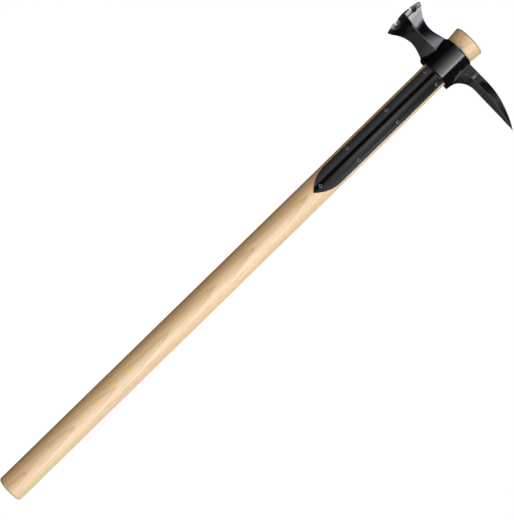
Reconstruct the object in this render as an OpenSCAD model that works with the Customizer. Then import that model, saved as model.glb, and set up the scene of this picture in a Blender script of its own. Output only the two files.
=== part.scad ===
// Two-handed war hammer: a forged head with a pronged poll and a curved back spike, on an oval wooden
// haft with a screwed-on steel langet on each face.
// The hammer lies on its side: the haft runs along +X from its butt, the poll points to +Y, the spike
// to -Y and the front langet faces +Z. The origin is the centre of the butt face.

/* [Haft] */
// Length from the butt to the crown, the end above the head
haft_length = 820; // [700:5:900]
// Width at the butt
butt_width = 37.4; // [34:0.2:38]
// Width just below the head
throat_width = 36; // [33:0.2:37]
// Width at the crown
crown_width = 44.2; // [42.6:0.2:46]
// Depth of the oval section as a share of its width
oval_ratio = 0.82; // [0.76:0.01:0.88]
// Rounding of the edge at both ends
end_round = 2.6; // [1:0.2:4]

/* [Collar] */
// How far the crown stands above the collar
crown_stand = 20.5; // [16:0.5:26]
// Height of the collar along the haft
collar_height = 43; // [40:0.5:46]
// Width of the collar, from the poll side to the spike side
collar_width = 46; // [45:0.5:50]
// Depth of the collar, from front to back
collar_depth = 48; // [44:0.5:54]
// Smallest width of the eye, wider than the butt so that the head slides up the haft
eye_width = 38.2; // [38:0.1:39]

/* [Poll] */
// Reach of the crowned face from the haft's axis
face_reach = 84.6; // [80:0.2:90]
// Height of the face between its upper and lower corners
face_height = 58.6; // [54:0.2:62]
// Depth of the face between its front and back corners
face_depth = 46; // [40:0.5:52]
// Radius of the crowned face
face_radius = 92; // [80:1:120]
// Height of the neck at its narrowest
neck_height = 30; // [26:0.5:36]
// Depth of the neck at its narrowest
neck_depth = 19; // [16:0.5:24]
// Width of the two crossed grooves in the face
groove_width = 14.8; // [10:0.2:16]
// Angle of each groove from the front-to-back direction
groove_angle = 57; // [50:1:60]

/* [Spike] */
// Reach of the spike's tip from the haft's axis
spike_reach = 121.4; // [110:0.2:130]
// Height of the tip below the collar's top
tip_drop = 21; // [16:0.5:24]
// Height of the spike where its point begins
spike_height = 20; // [16:0.5:22]
// Depth of the spike at its shoulder
spike_depth = 22; // [18:0.5:26]

/* [Langets] */
// Length of a langet below the collar
langet_length = 216; // [196:1:240]
// Width of a langet
langet_width = 30; // [28:0.2:31]
// Thickness of a langet
langet_thickness = 1.6; // [1.4:0.1:2]
// Length of the pointed end
langet_point = 35; // [24:1:45]
// How far a langet reaches up into the eye
langet_tuck = 7; // [3:0.5:12]

/* [Screws] */
// Width of a screw's head
screw_head_width = 4.6; // [4:0.1:5]
// Length of a screw below its head's rim
screw_length = 11; // [8:0.5:12]
// Distance between the pairs of screws along the haft
screw_pitch = 69; // [62:0.5:72]
// Distance between the two screws of a pair
screw_spread = 21.4; // [19:0.2:22]
// Distance of the first pair below the collar
screw_start = 7.8; // [6:0.2:12]
// Distance of the last screw from the langet's tip
screw_end = 12.4; // [10:0.2:16]

/* [Hidden] */
$fn = 64;

steel_black = [0.06, 0.06, 0.07];
steel_grey = [0.3, 0.3, 0.31];
hickory = [0.85, 0.69, 0.48];

// Cuts run this far past the faces that they open
cut_over = 5;
// Gap between parts that lie on each other
seat_gap = 0.05;

collar_top = haft_length - crown_stand;
collar_bottom = collar_top - collar_height;
collar_edge_round = 1.2;

// The haft tapers straight to the throat, then flares through the eye to the crown
throat_x = collar_bottom - 16;
flare_power = 1.7;
taper_steps = 5;
haft_steps = 10;
end_steps = 4;
// The haft is turned this much too long at both ends, then cut square
end_trim = 0.2;

// Stations of the poll along Y, from inside the collar to the face, which sits a little high
poll_root_x = (collar_top + collar_bottom) / 2;
poll_face_x = poll_root_x + 2.2;
poll_root_y = 16;
poll_neck_y = 47.5;
poll_band_y = face_reach - 9.2;
poll_edge_y = face_reach - 4;
poll_root = [collar_height / 2 - 0.2, 11];
poll_band = [face_height / 2 - 2, face_depth / 2 - 2];
poll_steps = 8;
groove_y = face_reach - 2.8;

// Stations of the spike at distances from the haft's axis, from inside the collar to the tip
spike_root_d = 14;
spike_web_d = 24;
spike_block_d = 35;
spike_neck_d = 39.5;
spike_waist_d = 50;
spike_point_d = 54;
spike_stations = concat(
    [spike_root_d],
    [for (i = [0:3]) mix(spike_web_d, spike_block_d, i / 3)],
    [spike_neck_d],
    [for (i = [1:3]) mix(spike_neck_d, spike_point_d, i / 3)],
    [for (i = [1:9]) mix(spike_point_d, spike_reach, i / 9)]
);
spike_under_x = collar_top - spike_height;
spike_tip_x = collar_top - tip_drop;
spike_tip_size = 0.5;
spike_block_extra = 2;
spike_arc_reach = spike_reach - spike_point_d;
spike_arc_r = (spike_arc_reach * spike_arc_reach + tip_drop * tip_drop) / (2 * tip_drop);

langet_tip_x = collar_bottom - langet_length;
langet_top_x = collar_bottom + langet_tuck;
point_steps = 10;

screw_shank_r = 1.1;
screw_crown = 0.4;
screw_sink = 1.1;
screw_tip = 3;
screw_slot = [2.6, 0.5, 0.7];
crown_steps = 4;

// Where the seven screws of a langet sit: three pairs and one at the point
screw_spots = concat(
    [for (row = [0:2], side = [1, -1])
        [collar_bottom - screw_start - row * screw_pitch, side * screw_spread / 2]],
    [[langet_tip_x + screw_end, 0]]
);

function mix(a, b, t) = a + (b - a) * t;
function ease(t) = (1 - cos(180 * t)) / 2;

// Half the haft's width at x along its length
function haft_r(x) =
    x < throat_x
        ? mix(butt_width, throat_width, x / throat_x) / 2
        : mix(throat_width, crown_width, pow((x - throat_x) / (haft_length - throat_x), flare_power)) / 2;

// Height above the haft's middle plane of a point y across the oval that is grown by `extra`
function oval_z(x, y, extra) = oval_ratio * sqrt(pow(haft_r(x) + extra, 2) - y * y);

// Outline of the haft with a rounded edge at both ends, as [radius, x] points
haft_outline = concat(
    [[0, -end_trim]],
    [for (i = [0:end_steps])
        [haft_r(0) - end_round * (1 - sin(90 * i / end_steps)),
         end_round * (1 - cos(90 * i / end_steps)) - end_trim]],
    [for (i = [1:taper_steps])
        let (x = throat_x * i / taper_steps) [haft_r(x), x]],
    [for (i = [1:haft_steps])
        let (x = mix(throat_x, haft_length - end_round, i / haft_steps)) [haft_r(x), x]],
    [for (i = [0:end_steps])
        [haft_r(haft_length) - end_round * (1 - cos(90 * i / end_steps)),
         haft_length + end_trim - end_round * (1 - sin(90 * i / end_steps))]],
    [[0, haft_length + end_trim]]
);

// Outline of the oval between two places along the haft, grown outwards and never narrower than `least`
function sleeve_outline(from, to, extra, least = 0) = concat(
    [[0, from]],
    [for (i = [0:haft_steps])
        let (x = mix(from, to, i / haft_steps)) [max(haft_r(x), least) + extra, x]],
    [[0, to]]
);

// Half sizes of the poll at y, up-down or front-back, from its sizes at the root, neck, band and face
function poll_half(y, root, neck, band, face) =
    y < poll_neck_y
        ? mix(root, neck, ease((y - poll_root_y) / (poll_neck_y - poll_root_y)))
        : y < poll_band_y
            ? mix(neck, band, pow((y - poll_neck_y) / (poll_band_y - poll_neck_y), 2))
            : mix(band, face, (y - poll_band_y) / (poll_edge_y - poll_band_y));

// Share of the way down the web under the spike's root, 1 at the collar and 0 at the waist
function web_share(d) = min(1, max(0, (spike_waist_d - d) / (spike_waist_d - spike_web_d)));

// Upper edge, lower edge, side ridge and half depth of the spike at the distance d
function spike_over(d) =
    collar_top - spike_arc_r + sqrt(pow(spike_arc_r, 2) - pow(max(0, d - spike_point_d), 2));
function spike_under(d) =
    mix(collar_bottom, spike_under_x, sqrt(1 - pow(web_share(d), 2)))
        + (spike_tip_x - spike_under_x) * max(0, d - spike_waist_d) / (spike_reach - spike_waist_d);
function spike_ridge(d) = mix(spike_under(d), spike_over(d), 0.37 + 0.2 * pow(web_share(d), 2));
function spike_side(d) =
    (d <= spike_block_d ? spike_block_extra : 0)
        + spike_depth / 2 * (1 - pow(max(0, d - spike_neck_d) / (spike_reach - spike_neck_d), 1.5));

// Solid through a row of four-cornered rings, each a list of [x, y, z] points
module ring_loft(rings) {
    last = len(rings) - 1;
    points = [for (ring = rings, point = ring) point];
    sides = [for (k = [0:last - 1], c = [0:3])
        let (a = 4 * k + c, b = 4 * k + (c + 1) % 4) each [[a, b, b + 4], [a, b + 4, a + 4]]];
    ends = [[3, 2, 1, 0], [for (c = [0:3]) 4 * last + c]];
    polyhedron(points = points, faces = concat(sides, ends), convexity = 4);
}

// Turns an outline of [radius, x] points into an oval body along +X
module oval_turning(outline) {
    rotate([0, 90, 0])
        scale([oval_ratio, 1, 1])
            rotate_extrude()
                polygon(outline);
}

// Slab between two places along the haft, wide enough to hold any other part
module haft_span(from, to, half_width) {
    translate([from, -half_width, -haft_length / 2])
        cube([to - from, 2 * half_width, haft_length]);
}

// Poll without its crown: a waisted body of diamond section, corners up, down, front and back
module poll_body() {
    rings = [for (i = [0:3 * poll_steps])
        let (
            y = i <= poll_steps
                ? mix(poll_root_y, poll_neck_y, i / poll_steps)
                : i <= 2 * poll_steps
                    ? mix(poll_neck_y, poll_band_y, i / poll_steps - 1)
                    : mix(poll_band_y, face_reach + cut_over, i / poll_steps - 2),
            x = mix(poll_root_x, poll_face_x, (y - poll_root_y) / (face_reach - poll_root_y)),
            up = poll_half(y, poll_root[0], neck_height / 2, poll_band[0], face_height / 2),
            out = poll_half(y, poll_root[1], neck_depth / 2, poll_band[1], face_depth / 2)
        )
        [[x + up, y, 0], [x, y, out], [x - up, y, 0], [x, y, -out]]];
    ring_loft(rings);
}

// Crowned face with two crossed grooves, which leave a blunt prong at each corner
module poll() {
    difference() {
        intersection() {
            poll_body();
            translate([poll_face_x, face_reach - face_radius, 0])
                sphere(r = face_radius, $fn = 128);
        }
        for (side = [1, -1])
            translate([poll_face_x, groove_y, 0])
                rotate([0, side * groove_angle, 0]) {
                    cylinder(d = groove_width, h = 2 * face_depth, center = true);
                    translate([-groove_width / 2, 0, -face_depth])
                        cube([groove_width, groove_width, 2 * face_depth]);
                }
    }
}

// Spike of kite section: an upper edge that curves down to the tip, a nearly straight lower edge and a
// ridge on each side, thicker in a short block by the collar
module spike() {
    ring_loft([for (d = spike_stations)
        let (
            over = max(spike_over(d), spike_tip_x + spike_tip_size),
            out = max(spike_side(d), spike_tip_size)
        )
        [[over, -d, 0], [spike_ridge(d), -d, -out], [spike_under(d), -d, 0], [spike_ridge(d), -d, out]]]);
}

// Oval barrel around the eye, with a small rounding at its upper and lower edges
module collar() {
    outline = concat(
        [[0, collar_bottom]],
        [for (i = [0:end_steps])
            [collar_width / 2 - collar_edge_round * (1 - sin(90 * i / end_steps)),
             collar_bottom + collar_edge_round * (1 - cos(90 * i / end_steps))]],
        [for (i = [0:end_steps])
            [collar_width / 2 - collar_edge_round * (1 - cos(90 * i / end_steps)),
             collar_top - collar_edge_round * (1 - sin(90 * i / end_steps))]],
        [[0, collar_top]]
    );
    rotate([0, 90, 0])
        scale([collar_depth / collar_width, 1, 1])
            rotate_extrude()
                polygon(outline);
}

// The whole forging, with the flared eye through it and a pocket for the end of each langet
module hammer_head() {
    color(steel_black)
        difference() {
            union() {
                collar();
                poll();
                spike();
            }
            oval_turning(sleeve_outline(
                collar_bottom - cut_over, collar_top + cut_over, seat_gap, eye_width / 2));
            intersection() {
                oval_turning(sleeve_outline(
                    collar_bottom - cut_over, langet_top_x + seat_gap,
                    langet_thickness / oval_ratio + 3 * seat_gap));
                haft_span(0, haft_length, langet_width / 2 + seat_gap);
            }
        }
}

// Screw of turned outline along +Z, its rim at z = 0: a low crown, a countersunk head, shank and point
module screw_turning(crown_outline) {
    rotate_extrude($fn = 32)
        polygon(concat(
            crown_outline,
            [[screw_head_width / 2, 0], [screw_shank_r, -screw_sink],
             [screw_shank_r, screw_tip - screw_length], [0, -screw_length]]
        ));
}

module screw_body() {
    rim = screw_head_width / 2;
    crown_r = (rim * rim + screw_crown * screw_crown) / (2 * screw_crown);
    crown_sweep = asin(rim / crown_r);
    difference() {
        screw_turning([for (i = [0:crown_steps - 1])
            let (a = crown_sweep * i / crown_steps)
            [crown_r * sin(a), crown_r * (cos(a) - 1) + screw_crown]]);
        for (turn = [0, 90])
            rotate([0, 0, turn])
                translate([0, 0, screw_crown])
                    cube([screw_slot[0], screw_slot[1], 2 * screw_slot[2]], center = true);
    }
}

// Puts a screw, or its hole, square to the face of the langet at a spot [x, y]
module at_spot(spot) {
    extra = langet_thickness / oval_ratio;
    z = oval_z(spot[0], spot[1], extra);
    translate([spot[0], spot[1], z])
        rotate([-atan2(spot[1] * pow(oval_ratio, 2), z), 0, 0])
            children();
}

// All holes for the seven screws of one langet
module screw_holes() {
    for (spot = screw_spots)
        at_spot(spot)
            screw_turning([[0, cut_over], [screw_head_width / 2, cut_over]]);
}

// Oval wooden shaft with rounded ends and the screws' holes in it
module haft() {
    color(hickory)
        difference() {
            intersection() {
                oval_turning(haft_outline);
                haft_span(0, haft_length, crown_width);
            }
            screw_holes();
            rotate([180, 0, 0])
                screw_holes();
        }
}

// Plan of a langet: parallel sides and a point of two equal arcs
module langet_plan() {
    half = langet_width / 2;
    arc_r = (langet_point * langet_point + half * half) / (2 * half);
    edge = [for (i = [0:point_steps])
        let (s = langet_point * i / point_steps)
        [langet_tip_x + langet_point - s, half - arc_r + sqrt(arc_r * arc_r - s * s)]];
    polygon(concat(
        [[langet_top_x, -half], [langet_top_x, half]],
        edge,
        [for (i = [point_steps - 1:-1:0]) [edge[i][0], -edge[i][1]]]
    ));
}

// Curved steel strap that lies on the haft's front, from under the collar to its point
module langet() {
    from = langet_tip_x - cut_over;
    to = langet_top_x + cut_over;
    color(steel_black)
        difference() {
            intersection() {
                linear_extrude(height = haft_length)
                    langet_plan();
                oval_turning(sleeve_outline(from, to, langet_thickness / oval_ratio));
            }
            oval_turning(sleeve_outline(from - cut_over, to + cut_over, seat_gap));
            screw_holes();
        }
}

module screw(number) {
    color(steel_grey)
        at_spot(screw_spots[number - 1])
            screw_body();
}

hammer_head();
haft();
langet();  // langet_front
rotate([180, 0, 0]) langet();  // langet_back
for (i = [1:7]) {
    screw(i);
    rotate([180, 0, 0]) screw(i);
}
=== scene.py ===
"""Looks of the two-handed war hammer: forged black head, hickory haft, two screwed-on langets.

The hammer lies on its side. The haft runs along +X from its butt, the poll points to +Y, the spike to
-Y and the front langet faces +Z. Shapes are worked out in millimetres and made in metres.
"""

import math

import bmesh
import bpy
import numpy as np
from mathutils import Matrix, Vector


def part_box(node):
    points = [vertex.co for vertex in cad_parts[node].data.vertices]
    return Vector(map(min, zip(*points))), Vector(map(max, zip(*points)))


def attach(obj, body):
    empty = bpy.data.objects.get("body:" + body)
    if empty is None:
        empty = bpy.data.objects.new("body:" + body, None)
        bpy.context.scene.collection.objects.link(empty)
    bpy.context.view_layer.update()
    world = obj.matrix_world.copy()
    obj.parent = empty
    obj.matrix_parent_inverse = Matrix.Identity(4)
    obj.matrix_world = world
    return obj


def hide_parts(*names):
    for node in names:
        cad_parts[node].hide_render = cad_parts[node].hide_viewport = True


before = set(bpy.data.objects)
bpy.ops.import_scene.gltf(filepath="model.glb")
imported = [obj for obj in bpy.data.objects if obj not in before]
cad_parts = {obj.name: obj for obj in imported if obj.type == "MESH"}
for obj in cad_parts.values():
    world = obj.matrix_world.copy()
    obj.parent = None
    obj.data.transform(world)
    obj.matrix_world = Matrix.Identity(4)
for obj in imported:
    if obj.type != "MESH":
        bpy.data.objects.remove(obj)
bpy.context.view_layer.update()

MM = 0.001


def node_box(name):
    """Lowest and highest corner of a CAD node, in millimetres."""
    low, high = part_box(name)
    return np.array(low) / MM, np.array(high) / MM


# ---------------------------------------------------------------- sizes, all in millimetres

HAFT_LOW, HAFT_HIGH = node_box("haft")
HEAD_LOW, HEAD_HIGH = node_box("hammer_head")
LANGET_LOW, LANGET_HIGH = node_box("langet_front")

HAFT_LENGTH = HAFT_HIGH[0]
CROWN_RADIUS = HAFT_HIGH[1]
BUTT_RADIUS = 18.7
THROAT_RADIUS = 18.0
OVAL_RATIO = 0.82
FLARE_POWER = 1.7
END_ROUND = 2.6

LANGET_TUCK = 7.0
LANGET_THICKNESS = 1.6
LANGET_POINT = 35.0
LANGET_HALF = LANGET_HIGH[1]
LANGET_TIP = LANGET_LOW[0]

COLLAR_BOTTOM = LANGET_HIGH[0] - LANGET_TUCK
COLLAR_HEIGHT = 43.0
COLLAR_TOP = COLLAR_BOTTOM + COLLAR_HEIGHT
COLLAR_MIDDLE = COLLAR_BOTTOM + COLLAR_HEIGHT / 2
COLLAR_HALF_WIDTH = 23.0
COLLAR_HALF_DEPTH = HEAD_HIGH[2]
THROAT = COLLAR_BOTTOM - 16.0
EYE_HALF = 19.1
EYE_GAP = 0.15

FACE_REACH = 84.6
FACE_RADIUS = 92.0
FACE_MIDDLE = COLLAR_MIDDLE + 2.2
POLL_ROOT_Y = 16.0
POLL_NECK_Y = 47.5
POLL_BAND_Y = FACE_REACH - 9.2
POLL_EDGE_Y = FACE_REACH - 4.0
GROOVE_RADIUS = 7.4
GROOVE_Y = FACE_REACH - 2.8
GROOVE_ANGLE = math.radians(57)
NOOK_NEAR = 0.4
NOOK_FAR = 1.8

SPIKE_REACH = -HEAD_LOW[1]
SPIKE_TIP = COLLAR_TOP - 21.0
SPIKE_UNDER = COLLAR_TOP - 20.0
SPIKE_HALF_DEPTH = 11.0
SPIKE_WEB_D = 24.0
SPIKE_BLOCK_D = 35.0
SPIKE_NECK_D = 39.5
SPIKE_WAIST_D = 50.0
SPIKE_POINT_D = 54.0

SCREW_RIM = 2.3
SCREW_SHANK = 1.1
SCREW_LENGTH = 11.0
SCREW_SINK = 1.1
SCREW_CROWN = 0.4
SCREW_TIP = 3.0
SCREW_SLACK = 0.08
SCREW_SLOT = (1.3, 0.25, 0.75)
SCREW_SPOTS = [
    (COLLAR_BOTTOM - 7.8 - row * 69.0, side * 10.7) for row in range(3) for side in (1, -1)
] + [(LANGET_TIP + 12.4, 0.0)]

LENS_DISTANCE = 1950.0
LENS_TURN = math.radians(44.35)
LENS_RIGHT = 21.97
LENS_UP = 6.39
VIEW_WIDTH = 663
SENSOR_WIDTH = 36

HEAD_STEP = 0.46
LANGET_STEP = 0.34
SCREW_STEP = 0.16

ARCH_ROWS = 64
SKY_ROWS = 17
SKY_RADIUS = 2400


# ---------------------------------------------------------------- shape functions


def mix(a, b, t):
    return a + (b - a) * t


def ramp(value, start, end):
    """0 before start, 1 after end, smooth between them."""
    t = np.clip((value - start) / (end - start), 0, 1)
    return t * t * (3 - 2 * t)


def soft_abs(value, radius):
    return np.sqrt(value * value + radius * radius)


def soft_max(a, b, radius):
    """The larger of two fields, with the edge between them rounded."""
    h = np.clip(1 - np.abs(a - b) / radius, 0, None)
    return np.maximum(a, b) + h * h * radius / 4


def soft_min(a, b, radius):
    return -soft_max(-a, -b, radius)


def haft_radius(x):
    """Half width of the haft at x: a straight taper, then the flare through the eye."""
    taper = mix(BUTT_RADIUS, THROAT_RADIUS, x / THROAT)
    share = np.clip((x - THROAT) / (HAFT_LENGTH - THROAT), 0, None)
    flare = mix(THROAT_RADIUS, CROWN_RADIUS, share**FLARE_POWER)
    return np.where(x < THROAT, taper, flare)


def oval_distance(x, y, z, radius):
    """Distance-like field of the haft's oval section with that half width."""
    return (np.sqrt(y * y + (z / OVAL_RATIO) ** 2) - radius) * np.sqrt(OVAL_RATIO)


# ---------------------------------------------------------------- fields: negative inside, positive outside


def poll_size(y, root, neck, band, edge):
    """Half height or half depth of the poll at y."""
    inner_share = np.clip((y - POLL_ROOT_Y) / (POLL_NECK_Y - POLL_ROOT_Y), 0, 1)
    inner = mix(root, neck, (1 - np.cos(np.pi * inner_share)) / 2)
    swell = mix(neck, band, np.clip((y - POLL_NECK_Y) / (POLL_BAND_Y - POLL_NECK_Y), 0, 1) ** 2)
    outer = mix(band, edge, (y - POLL_BAND_Y) / (POLL_EDGE_Y - POLL_BAND_Y))
    return np.where(y < POLL_NECK_Y, inner, np.where(y < POLL_BAND_Y, swell, outer))


def poll_field(x, y, z):
    """Waisted body of diamond section with a shallow line round it behind the face."""
    along = np.clip((y - POLL_ROOT_Y) / (FACE_REACH - POLL_ROOT_Y), 0, 1)
    rise = x - mix(COLLAR_MIDDLE, FACE_MIDDLE, along)
    up = poll_size(y, COLLAR_HEIGHT / 2 - 0.2, 15.0, 27.3, 29.3)
    out = poll_size(y, 11.0, 9.5, 21.0, 23.0)
    line = 0.7 * np.exp(-(((y - POLL_BAND_Y - 0.6) / 0.55) ** 2))
    edge = 0.3
    steep = np.sqrt(1 / up**2 + 1 / out**2)
    return (soft_abs(rise, edge) / up + soft_abs(z, edge) / out - 1 - edge / out) / steep + line


def face_field(x, y, z):
    """Sphere that crowns the face."""
    return np.sqrt((x - FACE_MIDDLE) ** 2 + (y - FACE_REACH + FACE_RADIUS) ** 2 + z * z) - FACE_RADIUS


def groove_field(x, y, z):
    """The two crossed grooves in the face, negative inside them."""
    rise = x - FACE_MIDDLE
    both = []
    for side in (1, -1):
        across = rise * math.cos(GROOVE_ANGLE) - side * z * math.sin(GROOVE_ANGLE)
        both.append(np.sqrt(across**2 + np.minimum(y - GROOVE_Y, 0) ** 2) - GROOVE_RADIUS)
    return np.minimum(both[0], both[1])


def spike_field(x, y, z):
    """Kite section: upper edge curved to the tip, lower edge nearly straight, a ridge on each side."""
    d = -y
    web = np.clip((SPIKE_WAIST_D - d) / (SPIKE_WAIST_D - SPIKE_WEB_D), 0, 1)
    reach = SPIKE_REACH - SPIKE_POINT_D
    drop = COLLAR_TOP - SPIKE_TIP
    arc = (reach**2 + drop**2) / (2 * drop)
    over = COLLAR_TOP - arc + np.sqrt(np.maximum(arc**2 - np.clip(d - SPIKE_POINT_D, 0, None) ** 2, 1))
    over = np.maximum(over, SPIKE_TIP + 0.5)
    under = mix(COLLAR_BOTTOM, SPIKE_UNDER, np.sqrt(1 - web**2))
    under = under - np.clip(d - SPIKE_WAIST_D, 0, None) / (SPIKE_REACH - SPIKE_WAIST_D)
    ridge = mix(under, over, 0.37 + 0.2 * web**2)
    run = np.clip((d - SPIKE_NECK_D) / (SPIKE_REACH - SPIKE_NECK_D), 0, 1)
    side = SPIKE_HALF_DEPTH * (1 - run**1.5) + 2 * (1 - ramp(d, SPIKE_BLOCK_D, SPIKE_NECK_D))
    side = np.maximum(side, 0.55)
    edge = np.clip(0.03 * (over - under), 0.1, 0.4)
    depth = soft_abs(z, edge) / side
    upper_fall = np.maximum(over - ridge, 0.4)
    lower_fall = np.maximum(ridge - under, 0.4)
    upper = (x - over + upper_fall * depth) / np.sqrt(1 + (upper_fall / side) ** 2)
    lower = (under + lower_fall * depth - x) / np.sqrt(1 + (lower_fall / side) ** 2)
    return soft_max(upper, lower, 2 * edge)


def collar_field(x, y, z):
    """Oval barrel round the eye."""
    oval = np.sqrt((y / COLLAR_HALF_WIDTH) ** 2 + (z / COLLAR_HALF_DEPTH) ** 2) - 1
    slab = np.abs(x - COLLAR_MIDDLE) - COLLAR_HEIGHT / 2
    return soft_max(oval * COLLAR_HALF_WIDTH, slab, 2.4)


def eye_field(x, y, z):
    """The flared eye and the pockets for the langets' ends, negative inside them."""
    oval = oval_distance(x, y, z, np.maximum(haft_radius(x), EYE_HALF) + EYE_GAP)
    pocket = oval_distance(x, y, z, haft_radius(x) + LANGET_THICKNESS / OVAL_RATIO + EYE_GAP)
    pocket = np.maximum(pocket, np.abs(y) - LANGET_HALF - EYE_GAP)
    pocket = np.maximum(pocket, x - COLLAR_BOTTOM - LANGET_TUCK - EYE_GAP)
    return np.minimum(oval, pocket)


def head_field(x, y, z):
    poll = soft_max(poll_field(x, y, z), face_field(x, y, z), 1.2)
    poll = np.maximum(poll, -y)
    poll = soft_max(poll, -groove_field(x, y, z), 0.9)
    low_side = ramp(COLLAR_MIDDLE - x, 8.0, 20.0)
    body = soft_min(collar_field(x, y, z), poll, mix(0.8, 6.0, low_side))
    spike = np.maximum(spike_field(x, y, z), np.maximum(y, -y - SPIKE_REACH))
    body = soft_min(body, spike, mix(0.4, 6.0, ramp(COLLAR_MIDDLE - x, 3.0, 15.0)))
    return soft_max(body, -eye_field(x, y, z), 0.9)


def langet_plan(x, y):
    """Outline of a langet: parallel sides and a point of two equal arcs."""
    arc = (LANGET_POINT**2 + LANGET_HALF**2) / (2 * LANGET_HALF)
    back = np.clip(LANGET_TIP + LANGET_POINT - x, 0, None)
    point = np.sqrt((np.abs(y) + arc - LANGET_HALF) ** 2 + back**2) - arc
    return np.maximum(point, x - LANGET_HIGH[0])


def screw_seat(spot):
    """Place and tilt of a screw that stands square to the langet's face."""
    x, y = spot
    radius = float(haft_radius(np.array(x))) + LANGET_THICKNESS / OVAL_RATIO
    z = OVAL_RATIO * math.sqrt(radius**2 - y * y)
    return Matrix.Translation((x, y, z)) @ Matrix.Rotation(-math.atan2(y * OVAL_RATIO**2, z), 4, "X")


def screw_outline(radius, z, slack):
    """Turned body of a screw: countersunk head, shank and point."""
    cone = (radius - mix(SCREW_SHANK, SCREW_RIM, np.clip(1 + z / SCREW_SINK, 0, 1)) - slack) * 0.68
    point = np.clip((-SCREW_LENGTH + SCREW_TIP - z) / SCREW_TIP, 0, 1)
    shank = radius - SCREW_SHANK * (1 - point) - slack
    return np.where(z > -SCREW_SINK, cone, shank)


def langet_field(x, y, z):
    radius = haft_radius(x)
    outer = oval_distance(x, y, z, radius + LANGET_THICKNESS / OVAL_RATIO)
    inner = oval_distance(x, y, z, radius + 0.06)
    sheet = soft_max(outer, langet_plan(x, y), 1.4)
    sheet = soft_max(np.maximum(sheet, -z), -inner, 0.4)
    for spot in SCREW_SPOTS:
        turn = screw_seat(spot).inverted()
        place = [
            sum(turn[row][col] * value for col, value in enumerate((x, y, z))) + turn[row][3]
            for row in range(3)
        ]
        hole = screw_outline(np.sqrt(place[0] ** 2 + place[1] ** 2), place[2], SCREW_SLACK)
        sheet = soft_max(sheet, -hole, 0.3)
    return sheet


def screw_field(x, y, z):
    """Screw along +Z with its rim at z = 0, a low crown and a cross recess."""
    radius = np.sqrt(x * x + y * y)
    body = screw_outline(radius, z, 0.0)
    sphere = (SCREW_RIM**2 + SCREW_CROWN**2) / (2 * SCREW_CROWN)
    crown = np.sqrt(radius**2 + (z + sphere - SCREW_CROWN) ** 2) - sphere
    body = soft_max(body, crown, 0.2)
    body = np.maximum(body, -z - SCREW_LENGTH)
    long, thin, deep = SCREW_SLOT
    floor = SCREW_CROWN - deep + 0.35 * radius
    for a, b in ((x, y), (y, x)):
        slot = np.maximum(np.maximum(np.abs(a) - long, np.abs(b) - thin), floor - z)
        body = soft_max(body, -slot, 0.12)
    return body


# ---------------------------------------------------------------- mesh makers


def gradient(field, points, step):
    """Slope of a field at each point."""
    slopes = []
    for axis in range(3):
        shift = np.zeros(3)
        shift[axis] = step
        ahead, behind = points + shift, points - shift
        slopes.append((field(*ahead.T) - field(*behind.T)) / (2 * step))
    return np.stack(slopes, 1)


def surface_net(field, low, high, step):
    """Closed quad mesh of a field's zero surface, with one vertex in each grid cell that it crosses."""
    axes = [np.arange(a - 2 * step, b + 3 * step, step) for a, b in zip(low, high)]
    values = field(axes[0][:, None, None], axes[1][None, :, None], axes[2][None, None, :])
    values = values.astype(np.float32)
    values = np.broadcast_to(values, tuple(len(a) for a in axes))
    inside = values < 0
    cells = tuple(n - 1 for n in values.shape)
    total = np.zeros(cells + (3,), np.float32)
    count = np.zeros(cells, np.int16)
    crossings = []
    for axis in range(3):
        near = [slice(None)] * 3
        far = [slice(None)] * 3
        near[axis], far[axis] = slice(None, -1), slice(1, None)
        near, far = tuple(near), tuple(far)
        edges = np.argwhere(inside[near] != inside[far])
        a = values[near][tuple(edges.T)]
        b = values[far][tuple(edges.T)]
        spot = edges.astype(np.float32)
        spot[:, axis] += a / (a - b)
        first, second = [k for k in range(3) if k != axis]
        around = []
        for u, v in ((0, 0), (-1, 0), (-1, -1), (0, -1)):
            cell = edges.copy()
            cell[:, first] += u
            cell[:, second] += v
            np.add.at(total, tuple(cell.T), spot)
            np.add.at(count, tuple(cell.T), 1)
            around.append(cell)
        flip = (a < 0) != (axis == 1)
        crossings.append((around, flip))
    used = np.argwhere(count > 0)
    index = np.full(cells, -1, np.int32)
    index[tuple(used.T)] = np.arange(len(used))
    grid = total[tuple(used.T)] / count[tuple(used.T)][:, None]
    points = grid.astype(float) * step + np.array([a[0] for a in axes])
    faces = []
    for around, flip in crossings:
        quads = np.stack([index[tuple(cell.T)] for cell in around], 1)
        quads[~flip] = quads[~flip][:, ::-1]
        faces.append(quads)
    for _ in range(4):
        slope = gradient(field, points, step / 8)
        move = slope * (field(*points.T) / np.maximum((slope**2).sum(1), 0.05))[:, None]
        length = np.linalg.norm(move, axis=1, keepdims=True)
        points -= move * np.minimum(1, 0.5 * step / np.maximum(length, 1e-9))
    slope = gradient(field, points, step / 5)
    normals = slope / np.maximum(np.linalg.norm(slope, axis=1, keepdims=True), 1e-9)
    return points, np.concatenate(faces), normals


def mesh_object(name, points, faces, normals=None):
    """Object of a mesh given in millimetres."""
    mesh = bpy.data.meshes.new(name)
    mesh.from_pydata((np.asarray(points) * MM).tolist(), [], [list(map(int, f)) for f in faces])
    mesh.shade_smooth()
    if normals is not None:
        mesh.normals_split_custom_set_from_vertices(normals.tolist())
    mesh.update()
    piece = bpy.data.objects.new(name, mesh)
    bpy.context.scene.collection.objects.link(piece)
    return piece


def vertex_values(piece, name, values):
    attribute = piece.data.attributes.new(name, "FLOAT", "POINT")
    attribute.data.foreach_set("value", np.asarray(values, np.float32))


def settle(piece, slot, material, *nodes):
    """Gives a finished piece its body and its material, and hides its CAD nodes. The slot argument is not
    used.
    """
    piece.data.materials.clear()
    piece.data.materials.append(material)
    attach(piece, "root")
    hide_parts(*nodes)


# ---------------------------------------------------------------- shader helpers


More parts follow.
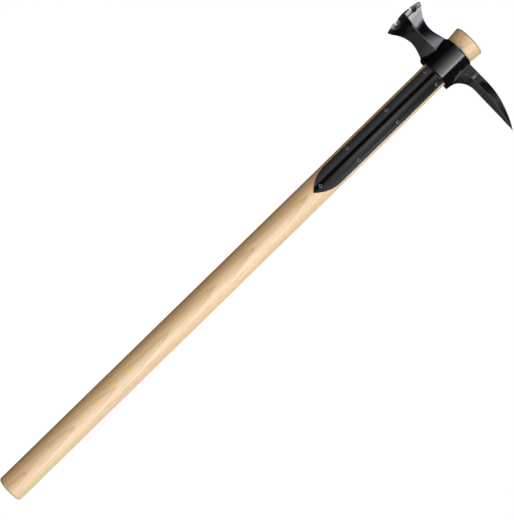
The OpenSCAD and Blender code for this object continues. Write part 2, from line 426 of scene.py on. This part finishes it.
class Shader:
    """A material's node tree, with short calls for the nodes that this scene uses."""

    def __init__(self, name):
        self.material = bpy.data.materials.new(name)
        self.material.use_nodes = True
        self.tree = self.material.node_tree
        self.surface = self.tree.nodes["Principled BSDF"]
        self.place = self.node("ShaderNodeTexCoord").outputs["Object"]

    def node(self, kind, **settings):
        made = self.tree.nodes.new(kind)
        for key, value in settings.items():
            setattr(made, key, value)
        return made

    def feed(self, socket, value):
        if isinstance(value, bpy.types.NodeSocket):
            self.tree.links.new(value, socket)
        else:
            socket.default_value = value

    def math(self, operation, a, b=0.0, clamp=False):
        made = self.node("ShaderNodeMath", operation=operation, use_clamp=clamp)
        self.feed(made.inputs[0], a)
        self.feed(made.inputs[1], b)
        return made.outputs[0]

    def axes(self, scale=(1.0, 1.0, 1.0)):
        """The place on the object in millimetres, divided by the size of the pattern along each axis."""
        made = self.node("ShaderNodeVectorMath", operation="MULTIPLY")
        self.feed(made.inputs[0], self.place)
        made.inputs[1].default_value = [1 / (MM * s) for s in scale]
        return made.outputs[0]

    def noise(self, size, detail=2.0, rough=0.5):
        """Noise whose blobs have that size in millimetres along X, Y and Z."""
        made = self.node("ShaderNodeTexNoise")
        self.feed(made.inputs["Vector"], self.axes(size))
        made.inputs["Scale"].default_value = 1.0
        made.inputs["Detail"].default_value = detail
        made.inputs["Roughness"].default_value = rough
        return made.outputs["Fac"]

    def ramp(self, factor, *stops):
        """Colour ramp of (place, colour) stops; a single number stands for a grey."""
        made = self.node("ShaderNodeValToRGB")
        elements = made.color_ramp.elements
        while len(elements) < len(stops):
            elements.new(0.5)
        for element, (spot, colour) in zip(elements, stops):
            element.position = spot
            grey = not hasattr(colour, "__len__")
            element.color = (colour, colour, colour, 1) if grey else (*colour, 1)
        self.feed(made.inputs[0], factor)
        return made.outputs[0]

    def blend(self, factor, a, b, kind="MIX"):
        made = self.node("ShaderNodeMix", data_type="RGBA", blend_type=kind)
        self.feed(made.inputs[0], factor)
        for socket, value in ((made.inputs[6], a), (made.inputs[7], b)):
            self.feed(socket, value if isinstance(value, bpy.types.NodeSocket) else (*value, 1))
        return made.outputs[2]

    def attribute(self, name):
        return self.node("ShaderNodeAttribute", attribute_name=name).outputs["Fac"]

    def bump(self, height, strength, distance):
        made = self.node("ShaderNodeBump")
        made.inputs["Strength"].default_value = strength
        made.inputs["Distance"].default_value = distance * MM
        self.feed(made.inputs["Height"], height)
        self.feed(self.surface.inputs["Normal"], made.outputs[0])

    def set(self, **values):
        for name, value in values.items():
            self.feed(self.surface.inputs[name.replace("_", " ")], value)
        return self.material


# ---------------------------------------------------------------- materials


def hickory():
    """Pale lacquered hickory: growth rings round a tilted pith line, so that they run out in arches."""
    s = Shader("hickory")
    split = s.node("ShaderNodeSeparateXYZ")
    s.feed(split.inputs[0], s.axes())
    along, across, up = split.outputs
    pith_side = s.math("ADD", across, 2.0)
    pith_depth = s.math("ADD", s.math("SUBTRACT", up, s.math("MULTIPLY", along, 0.0176)), 62.0)
    far = s.math("SQRT", s.math("ADD", s.math("POWER", pith_side, 2.0), s.math("POWER", pith_depth, 2.0)))
    wander = s.math("MULTIPLY", s.noise((160, 16, 16), 2), 2.2)
    shiver = s.math("MULTIPLY", s.noise((45, 4, 4), 2), 0.35)
    rings = s.math("DIVIDE", s.math("ADD", s.math("ADD", far, wander), shiver), 1.5)
    phase = s.math("FRACT", rings)
    line = s.ramp(phase, (0.0, 0.0), (0.05, 1.0), (0.14, 0.45), (0.4, 0.1), (0.8, 0.0), (1.0, 0.0))
    broad = s.noise((240, 7, 7), 2)
    streaks = s.noise((110, 1.6, 1.6), 3, 0.6)
    fibres = s.noise((40, 0.5, 0.5), 3, 0.6)
    pores = s.ramp(s.noise((9, 0.32, 0.32), 1), (0.6, 0.0), (0.72, 1.0))
    colour = s.ramp(broad, (0.3, (0.49, 0.33, 0.165)), (0.7, (0.57, 0.415, 0.235)))
    colour = s.blend(s.ramp(streaks, (0.35, 0.0), (0.7, 0.35)), colour, (0.42, 0.24, 0.105))
    colour = s.blend(s.math("MULTIPLY", line, 0.65), colour, (0.33, 0.17, 0.07))
    colour = s.blend(s.ramp(fibres, (0.4, 0.0), (0.75, 0.22)), colour, (0.70, 0.52, 0.32))
    colour = s.blend(s.math("MULTIPLY", pores, 0.25), colour, (0.27, 0.14, 0.055))
    facing = s.node("ShaderNodeSeparateXYZ")
    s.feed(facing.inputs[0], s.node("ShaderNodeNewGeometry").outputs["Normal"])
    end = s.ramp(s.math("ABSOLUTE", facing.outputs[0]), (0.35, 0.0), (0.95, 0.5))
    colour = s.blend(end, colour, (0.34, 0.18, 0.08))
    s.bump(s.math("ADD", s.math("MULTIPLY", fibres, 0.6), s.math("MULTIPLY", pores, -0.6)), 0.12, 0.12)
    return s.set(
        Base_Color=colour,
        Roughness=s.ramp(streaks, (0.3, 0.42), (0.7, 0.55)),
        Coat_Weight=1.0,
        Coat_Roughness=0.34,
        Coat_IOR=1.45,
        Specular_IOR_Level=0.5,
    )


def head_steel():
    """Satin black finish, dull where two forms meet, and bare steel on the face and in its grooves."""
    s = Shader("head_steel")
    cloud = s.noise((14, 14, 14), 3)
    grain = s.noise((0.9, 0.9, 0.9), 2)
    scratch = s.noise((0.5, 6, 0.5), 3, 0.6)
    black = s.ramp(cloud, (0.3, (0.0015, 0.0015, 0.0017)), (0.7, (0.003, 0.003, 0.0034)))
    steel = s.ramp(scratch, (0.3, (0.40, 0.38, 0.36)), (0.7, (0.50, 0.48, 0.45)))
    worn = s.math("ADD", s.attribute("bare"), s.math("MULTIPLY", s.math("SUBTRACT", grain, 0.5), 0.15))
    bare = s.ramp(worn, (0.42, 0.0), (0.58, 1.0))
    satin = s.blend(s.attribute("nook"), s.ramp(cloud, (0.3, 0.11), (0.7, 0.15)), (0.45, 0.45, 0.45))
    s.bump(s.math("ADD", grain, cloud), 0.04, 0.2)
    return s.set(
        Base_Color=s.blend(bare, black, steel),
        Metallic=bare,
        Roughness=s.blend(bare, satin, s.ramp(scratch, (0.3, 0.38), (0.7, 0.46))),
        Specular_IOR_Level=0.55,
    )


def langet_steel():
    """Black finish on rolled strap, with the faint lines of the rolling along it."""
    s = Shader("langet_steel")
    cloud = s.noise((30, 9, 9), 3)
    lines = s.noise((60, 0.5, 0.5), 2)
    colour = s.ramp(cloud, (0.3, (0.0015, 0.0015, 0.0017)), (0.7, (0.003, 0.003, 0.0034)))
    s.bump(s.math("ADD", lines, cloud), 0.05, 0.15)
    return s.set(
        Base_Color=colour,
        Roughness=s.ramp(lines, (0.3, 0.11), (0.7, 0.15)),
        Specular_IOR_Level=0.5,
    )


def screw_steel():
    """Blackened screws with a painted highlight: a bright ring painted round the rim."""
    s = Shader("screw_steel")
    split = s.node("ShaderNodeSeparateXYZ")
    s.feed(split.inputs[0], s.axes())
    side_x, side_y, up = split.outputs
    radius = s.math("SQRT", s.math("ADD", s.math("POWER", side_x, 2.0), s.math("POWER", side_y, 2.0)))
    outer = s.math("MULTIPLY", radius, 1 / SCREW_RIM)
    # Painted highlight: a lighter ring near the rim, its edge wobbled by noise, stands in for the rim's
    # highlight.
    highlight_edge_noise = s.math("MULTIPLY", s.math("SUBTRACT", s.noise((0.8, 0.8, 0.8), 3), 0.5), 0.25)
    painted_highlight_ring = s.ramp(s.math("ADD", outer, highlight_edge_noise), (0.62, 0.0), (0.74, 1.0))
    top = s.ramp(up, (0.0, 0.0), (0.02, 1.0))
    painted_highlight_ring = s.math("MULTIPLY", painted_highlight_ring, top)
    # The painted highlight ring lightens the base colour and raises the roughness a little.
    return s.set(
        Base_Color=s.blend(painted_highlight_ring, (0.02, 0.02, 0.021), (0.46, 0.45, 0.44)),
        Metallic=0.9,
        Roughness=s.blend(painted_highlight_ring, (0.3, 0.3, 0.3), (0.36, 0.36, 0.36)),
    )


def glow(name, colour=(1.0, 1.0, 1.0)):
    """Light that is as strong as each vertex's glow value, and lets what is behind it shine through."""
    material = bpy.data.materials.new(name)
    material.use_nodes = True
    tree = material.node_tree
    tree.nodes.clear()
    value = tree.nodes.new("ShaderNodeAttribute")
    value.attribute_name = "glow"
    emission = tree.nodes.new("ShaderNodeEmission")
    emission.inputs["Color"].default_value = (*colour, 1)
    output = tree.nodes.new("ShaderNodeOutputMaterial")
    tree.links.new(value.outputs["Fac"], emission.inputs["Strength"])
    clear = tree.nodes.new("ShaderNodeBsdfTransparent")
    both = tree.nodes.new("ShaderNodeAddShader")
    tree.links.new(emission.outputs[0], both.inputs[0])
    tree.links.new(clear.outputs[0], both.inputs[1])
    tree.links.new(both.outputs[0], output.inputs["Surface"])
    return material


# ---------------------------------------------------------------- pieces


def make_head():
    points, faces, normals = surface_net(head_field, HEAD_LOW, HEAD_HIGH, HEAD_STEP)
    head = mesh_object("head_forging", points, faces, normals)
    x, y, z = points.T
    on_face = 1 - ramp(np.abs(face_field(x, y, z)), 0.15, 0.6)
    in_groove = 1 - ramp(np.abs(groove_field(x, y, z)), 0.15, 0.6)
    vertex_values(head, "bare", np.maximum(on_face, in_groove * 0.75) * (y > POLL_NECK_Y))
    by_collar = 1 - ramp(np.abs(collar_field(x, y, z)), NOOK_NEAR, NOOK_FAR)
    by_poll = 1 - ramp(np.abs(poll_field(x, y, z)), NOOK_NEAR, NOOK_FAR)
    by_spike = 1 - ramp(np.abs(spike_field(x, y, z)), NOOK_NEAR, NOOK_FAR)
    nook = by_collar * np.maximum(by_poll * (y > 0), by_spike * (y < 0))
    by_root = ramp(collar_field(x, y, z), 0.3, 1.5) * ramp(y, -SPIKE_WAIST_D, -SPIKE_BLOCK_D) * (y < 0)
    vertex_values(head, "nook", np.maximum(nook, by_root))
    settle(head, "head_steel", head_steel(), "hammer_head")
    return head


def make_haft():
    """Oval shaft of rings along X, rounded at both ends and closed by smaller and smaller rings."""
    around = 112
    turns = np.linspace(0, 2 * np.pi, around, endpoint=False)
    bend = np.linspace(0, np.pi / 2, 8)
    cap = np.array([0.2, 0.4, 0.6, 0.8, 0.93])
    butt, crown = BUTT_RADIUS, CROWN_RADIUS
    body = np.concatenate([
        np.linspace(END_ROUND, THROAT, 150)[1:],
        np.linspace(THROAT, HAFT_LENGTH - END_ROUND, 40)[1:-1],
    ])
    rings = [(0.0, (butt - END_ROUND) * share) for share in cap]
    rings += [(END_ROUND * (1 - math.cos(t)), butt - END_ROUND * (1 - math.sin(t))) for t in bend]
    rings += [(float(x), float(haft_radius(x))) for x in body]
    rings += [
        (HAFT_LENGTH - END_ROUND * (1 - math.sin(t)), crown - END_ROUND * (1 - math.cos(t))) for t in bend
    ]
    rings += [(HAFT_LENGTH, (crown - END_ROUND) * share) for share in cap[::-1]]
    points = [(x, r * math.cos(t), OVAL_RATIO * r * math.sin(t)) for x, r in rings for t in turns]
    points += [(0.0, 0.0, 0.0), (HAFT_LENGTH, 0.0, 0.0)]
    faces = []
    for k in range(len(rings) - 1):
        for i in range(around):
            j = (i + 1) % around
            a, b = k * around, (k + 1) * around
            faces.append((a + j, a + i, b + i, b + j))
    last = (len(rings) - 1) * around
    for i in range(around):
        j = (i + 1) % around
        faces.append((i, j, len(points) - 2))
        faces.append((last + j, last + i, len(points) - 1))
    haft = mesh_object("haft_wood", points, [f[::-1] for f in faces])
    settle(haft, "haft_wood", hickory(), "haft")
    return haft


def make_langets():
    points, faces, normals = surface_net(langet_field, LANGET_LOW, LANGET_HIGH, LANGET_STEP)
    front = mesh_object("langet_strap_front", points, faces, normals)
    back = bpy.data.objects.new("langet_strap_back", front.data)
    bpy.context.scene.collection.objects.link(back)
    back.matrix_world = Matrix.Rotation(math.pi, 4, "X")
    steel = langet_steel()
    settle(front, "langet_steel", steel, "langet_front")
    settle(back, "langet_steel", steel, "langet_back")
    return [front, back]


def make_screws():
    rim = SCREW_RIM
    points, faces, normals = surface_net(
        screw_field, (-rim, -rim, -SCREW_LENGTH), (rim, rim, SCREW_CROWN), SCREW_STEP)
    pattern = mesh_object("screw_pattern", points, faces, normals)
    steel = screw_steel()
    made = []
    for side in ("front", "back"):
        over = Matrix.Rotation(0 if side == "front" else math.pi, 4, "X")
        for number, spot in enumerate(SCREW_SPOTS, 1):
            screw = bpy.data.objects.new(f"wood_screw_{side}_{number}", pattern.data)
            bpy.context.scene.collection.objects.link(screw)
            seat = over @ screw_seat(spot)
            seat.translation = seat.translation * MM
            screw.matrix_world = seat @ Matrix.Rotation(math.radians(17 + 53 * number), 4, "Z")
            settle(screw, "screw_steel", steel, f"screw_{side}_{number}")
            made.append(screw)
    bpy.data.objects.remove(pattern)
    return made


# ---------------------------------------------------------------- stage: camera, floor, backdrop and lights


def make_camera():
    """The photograph's view: straight down on the hammer, turned so that the haft runs up to the right."""
    right = Vector((math.cos(LENS_TURN), -math.sin(LENS_TURN), 0))
    upward = Vector((math.sin(LENS_TURN), math.cos(LENS_TURN), 0))
    data = bpy.data.cameras.new("camera")
    data.sensor_width = SENSOR_WIDTH
    data.lens = SENSOR_WIDTH * LENS_DISTANCE / VIEW_WIDTH
    data.clip_end = 100
    camera = bpy.data.objects.new("camera", data)
    bpy.context.scene.collection.objects.link(camera)
    turn = Matrix((right, upward, Vector((0, 0, 1)))).transposed().to_4x4()
    middle = Vector((HAFT_LENGTH / 2, 0, LENS_DISTANCE)) + LENS_RIGHT * right + LENS_UP * upward
    camera.matrix_world = Matrix.Translation(middle * MM) @ turn
    bpy.context.scene.camera = camera


def stage_object(name, points, faces, material):
    made = mesh_object(name, points, faces)
    made.data.materials.append(material)
    return made


def arch_panel(name, radius, angles, span, glows, receivers, tint=(1.0, 1.0, 1.0)):
    """Light panel bent round the haft's axis. Angles are degrees from straight up, positive towards +Y.

    glows has a row of strengths for each place in span.
    """
    fine = np.linspace(angles[0], angles[-1], ARCH_ROWS)
    rows = np.radians(fine)
    strengths = [np.interp(fine, angles, row) for row in glows]
    points = [(x, radius * math.sin(a), radius * math.cos(a)) for x in span for a in rows]
    faces = [
        (ARCH_ROWS * i + k, ARCH_ROWS * i + k + 1, ARCH_ROWS * (i + 1) + k + 1, ARCH_ROWS * (i + 1) + k)
        for i in range(len(span) - 1) for k in range(ARCH_ROWS - 1)
    ]
    light_panel(name, points, faces, np.ravel(strengths), receivers, tint)


def sky_panel(name, middle, azimuths, elevations, glows, receivers, tint=(1.0, 1.0, 1.0)):
    """Light panel on a large sphere round a point. Azimuth is from +X towards +Y.

    glows has a row of strengths for each elevation.
    """
    fine_a = np.linspace(azimuths[0], azimuths[-1], SKY_ROWS)
    fine_e = np.linspace(elevations[0], elevations[-1], SKY_ROWS)
    rows = np.array([np.interp(fine_a, azimuths, row) for row in glows])
    strengths = np.array([np.interp(fine_e, elevations, rows[:, k]) for k in range(len(fine_a))]).T
    points = []
    for e in np.radians(fine_e):
        for a in np.radians(fine_a):
            out = (math.cos(e) * math.cos(a), math.cos(e) * math.sin(a), math.sin(e))
            points.append(tuple(m + SKY_RADIUS * o for m, o in zip(middle, out)))
    faces = [
        (SKY_ROWS * i + k, SKY_ROWS * i + k + 1, SKY_ROWS * (i + 1) + k + 1, SKY_ROWS * (i + 1) + k)
        for i in range(SKY_ROWS - 1) for k in range(SKY_ROWS - 1)
    ]
    light_panel(name, points, faces, strengths.ravel(), receivers, tint)


def light_panel(name, points, faces, strengths, receivers, tint=(1.0, 1.0, 1.0)):
    panel = stage_object(name, points, faces, glow(name, tint))
    vertex_values(panel, "glow", strengths)
    panel.visible_camera = False
    panel.visible_shadow = False
    if receivers:
        lit = bpy.data.collections.new(name + "_lit")
        for piece in receivers:
            lit.objects.link(piece)
        panel.light_linking.receiver_collection = lit


def make_floor():
    """White surface under the two places that the hammer lies on, and a white surround far behind it."""
    material = bpy.data.materials.new("white_surface")
    material.use_nodes = True
    tree = material.node_tree
    surface = tree.nodes["Principled BSDF"]
    surface.inputs["Base Color"].default_value = (0.5, 0.5, 0.5, 1)
    surface.inputs["Roughness"].default_value = 1.0
    surface.inputs["Specular IOR Level"].default_value = 0.0
    surface.inputs["Emission Color"].default_value = (1, 1, 1, 1)
    surface.inputs["Emission Strength"].default_value = 1.0
    butt_low = (END_ROUND, -OVAL_RATIO * BUTT_RADIUS)
    head_low = (COLLAR_MIDDLE, -COLLAR_HALF_DEPTH)
    slope = (head_low[1] - butt_low[1]) / (head_low[0] - butt_low[0])
    reach = 3000
    corners = [
        (x, y, butt_low[1] + slope * (x - butt_low[0]))
        for x, y in ((-reach, -reach), (reach, -reach), (reach, reach), (-reach, reach))
    ]
    floor = stage_object("floor", corners, [(0, 1, 2, 3)], material)
    floor.visible_glossy = False
    floor.visible_diffuse = False
    floor.visible_shadow = False
    ball = bpy.data.meshes.new("backdrop")
    backdrop = bpy.data.objects.new("backdrop", ball)
    bpy.context.scene.collection.objects.link(backdrop)
    bm = bmesh.new()
    bmesh.ops.create_icosphere(bm, subdivisions=4, radius=9.0)
    bm.to_mesh(ball)
    bm.free()
    vertex_values(backdrop, "glow", [1.0] * len(ball.vertices))
    ball.materials.append(glow("white_surround"))
    for ray in ("diffuse", "glossy", "transmission", "shadow"):
        setattr(backdrop, "visible_" + ray, False)


def make_world():
    world = bpy.data.worlds.new("studio")
    world.use_nodes = True
    world.node_tree.nodes["Background"].inputs[0].default_value = (1, 1, 1, 1)
    world.node_tree.nodes["Background"].inputs[1].default_value = 0.02
    bpy.context.scene.world = world


make_camera()
head = make_head()
haft = make_haft()
langets = make_langets()
screws = make_screws()
make_world()
make_floor()

overhead = [0.0, 6.5, 7.5, 5.4, 3.4, 2.3, 1.4, 0.6, 0.3, 0.05]
arch_panel(
    "overhead", 1150, [-53, -49, -44, -36, -25, -10, 5, 20, 35, 54], [-500, 1250], [overhead] * 2,
    [head, haft])
arch_panel(
    "haft_edge", 1200, [-100, -92, -66, -56], [-500, 1000], [[0.0, 1.8, 1.8, 0.0]] * 2, [haft],
    tint=(0.86, 1.0, 1.13))
arch_panel(
    "haft_below", 1200, [-172, -110], [-500, 1000], [[0.8, 0.8]] * 2, [haft], tint=(0.92, 1.0, 1.05))
arch_panel(
    "haft_fill", 1200, [50, 70, 130], [-500, 1500], [[0.0, 0.5, 0.4]] * 2, [haft], tint=(1.0, 0.68, 0.36))
arch_panel(
    "langet_left", 1100, [20, 22.5, 36, 50, 66, 88], [-500, 1500], [[0.0, 1.0, 0.97, 0.65, 0.45, 0.4]] * 2,
    langets + screws)
arch_panel(
    "langet_right", 1100, [-90, -66, -50, -36, -24, -12, -4, 1], [-500, 640, 770, 925, 1500],
    [
        [1.5, 1.4, 1.1, 0.9, 0.8, 0.5, 0.3, 0.0],
        [1.5, 1.4, 1.1, 0.9, 0.8, 0.5, 0.3, 0.0],
        [2.3, 1.9, 0.8, 0.75, 1.6, 2.4, 1.1, 0.0],
        [0.5, 0.3, 0.25, 0.25, 0.6, 0.85, 0.6, 0.0],
        [0.5, 0.3, 0.25, 0.25, 0.6, 0.85, 0.6, 0.0],
    ],
    langets + screws)
head_middle = (790, 20, 0)
sky_panel(
    "far_right", head_middle, [-48, -44, -28, -20, -15, -12], [-16, -12, -2, 2, 7, 9.5, 11],
    [
        [0, 0, 0, 0, 0, 0],
        [0, 9, 9, 9, 7, 0],
        [0, 6, 5.5, 9, 7, 0],
        [0, 5, 5, 9, 5, 0],
        [0, 5, 6, 6, 0, 0],
        [0, 5, 5, 3, 0, 0],
        [0, 0, 0, 0, 0, 0],
    ],
    [head], tint=(0.94, 0.97, 1.05))
sky_panel(
    "far_left", head_middle, [2, 7, 30, 36], [16, 19, 24, 40, 46],
    [[0, 0, 0, 0], [0, 2.5, 2.5, 0], [0, 6, 6, 0], [0, 6, 6, 0], [0, 0, 0, 0]],
    [head], tint=(0.94, 0.97, 1.05))
sky_panel(
    "root_glint", head_middle, [-4, -2, 1, 3], [-4.5, -3.5, 0, 1],
    [[0, 0, 0, 0], [0, 2.6, 2.6, 0], [0, 2.6, 2.6, 0], [0, 0, 0, 0]], [head])
sky_panel(
    "butt_side", head_middle, [150, 158, 195, 205], [-22, -15, 38, 46],
    [[0.0, 0.0, 0.0, 0.0], [0.4, 0.5, 0.6, 0.2], [0.35, 0.4, 0.4, 0.12], [0.0, 0.0, 0.0, 0.0]], [head])
sky_panel("below_face", head_middle, [30, 150], [-89, -74], [[0.9, 0.9], [0.9, 0.9]], [head])

bpy.context.scene.view_settings.view_transform = "Standard"
